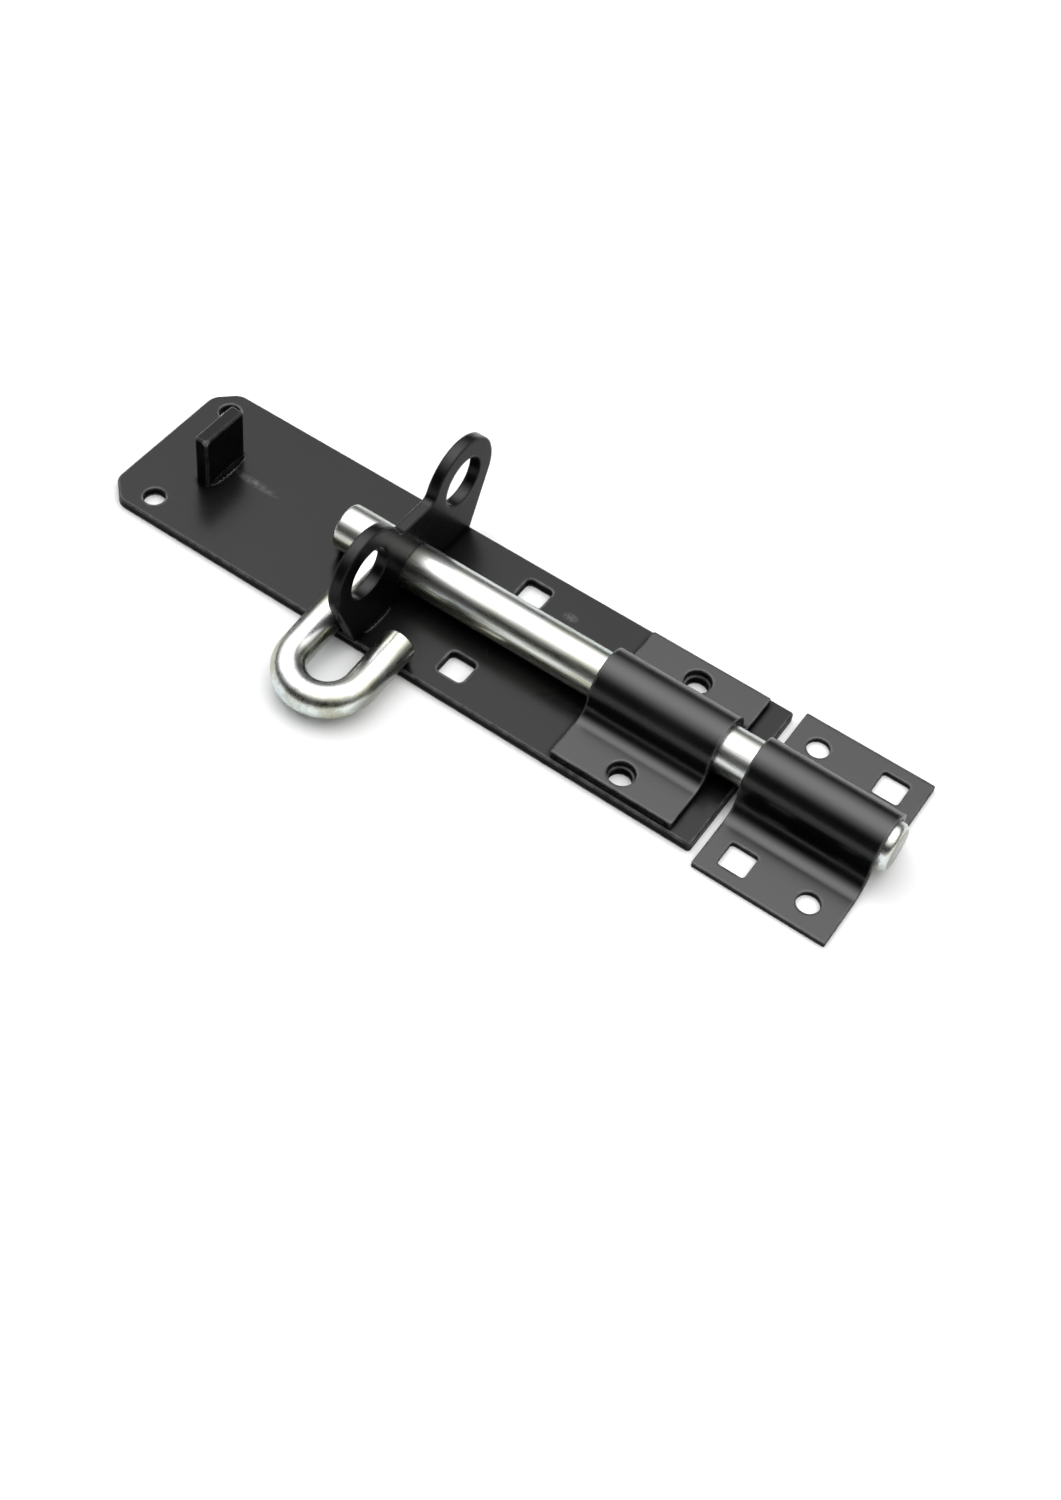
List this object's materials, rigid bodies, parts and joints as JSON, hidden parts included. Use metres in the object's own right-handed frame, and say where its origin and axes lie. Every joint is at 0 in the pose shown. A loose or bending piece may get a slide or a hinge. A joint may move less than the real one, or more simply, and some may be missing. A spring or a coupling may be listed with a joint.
{
  "type": "padbolt",
  "caption": "Black padbolt with a bright round bar and U handle that drops over a twin-eared padlock plate, and a folded keep.",
  "frame": {"origin": "centre of the back plate's underside, the face that is screwed to the door or gate", "axes": "+X the way the bar shoots into the keep, +Y across the plate away from the handle's side, +Z out of the door"},
  "size_m": [0.2451, 0.0925, 0.0406],
  "materials": {
    "black_coating": "semi-gloss black powder coating on steel",
    "bright_zinc": "bright zinc plating on steel rod, with faint olive and blue tints"
  },
  "bodies": {
    "fixed": {"back_plate": "black_coating", "stop_tab": "black_coating", "staple_plate": "black_coating", "front_strap": "black_coating", "keep": "black_coating"},
    "bolt": {"bolt_bar": "bright_zinc"},
    "handle": {"pull_handle": "bright_zinc"}
  },
  "joints": [
    {"name": "bolt_slide", "type": "slide", "parent": "fixed", "child": "bolt", "axis": [1, 0, 0], "range_m": [-0.0072, 0.0002]},
    {"name": "handle_turn", "type": "hinge", "parent": "bolt", "child": "handle", "pos_m": [-0.018, 0, 0.0103], "axis": [-1, 0, 0], "range_deg": [0, 188]}
  ]
}
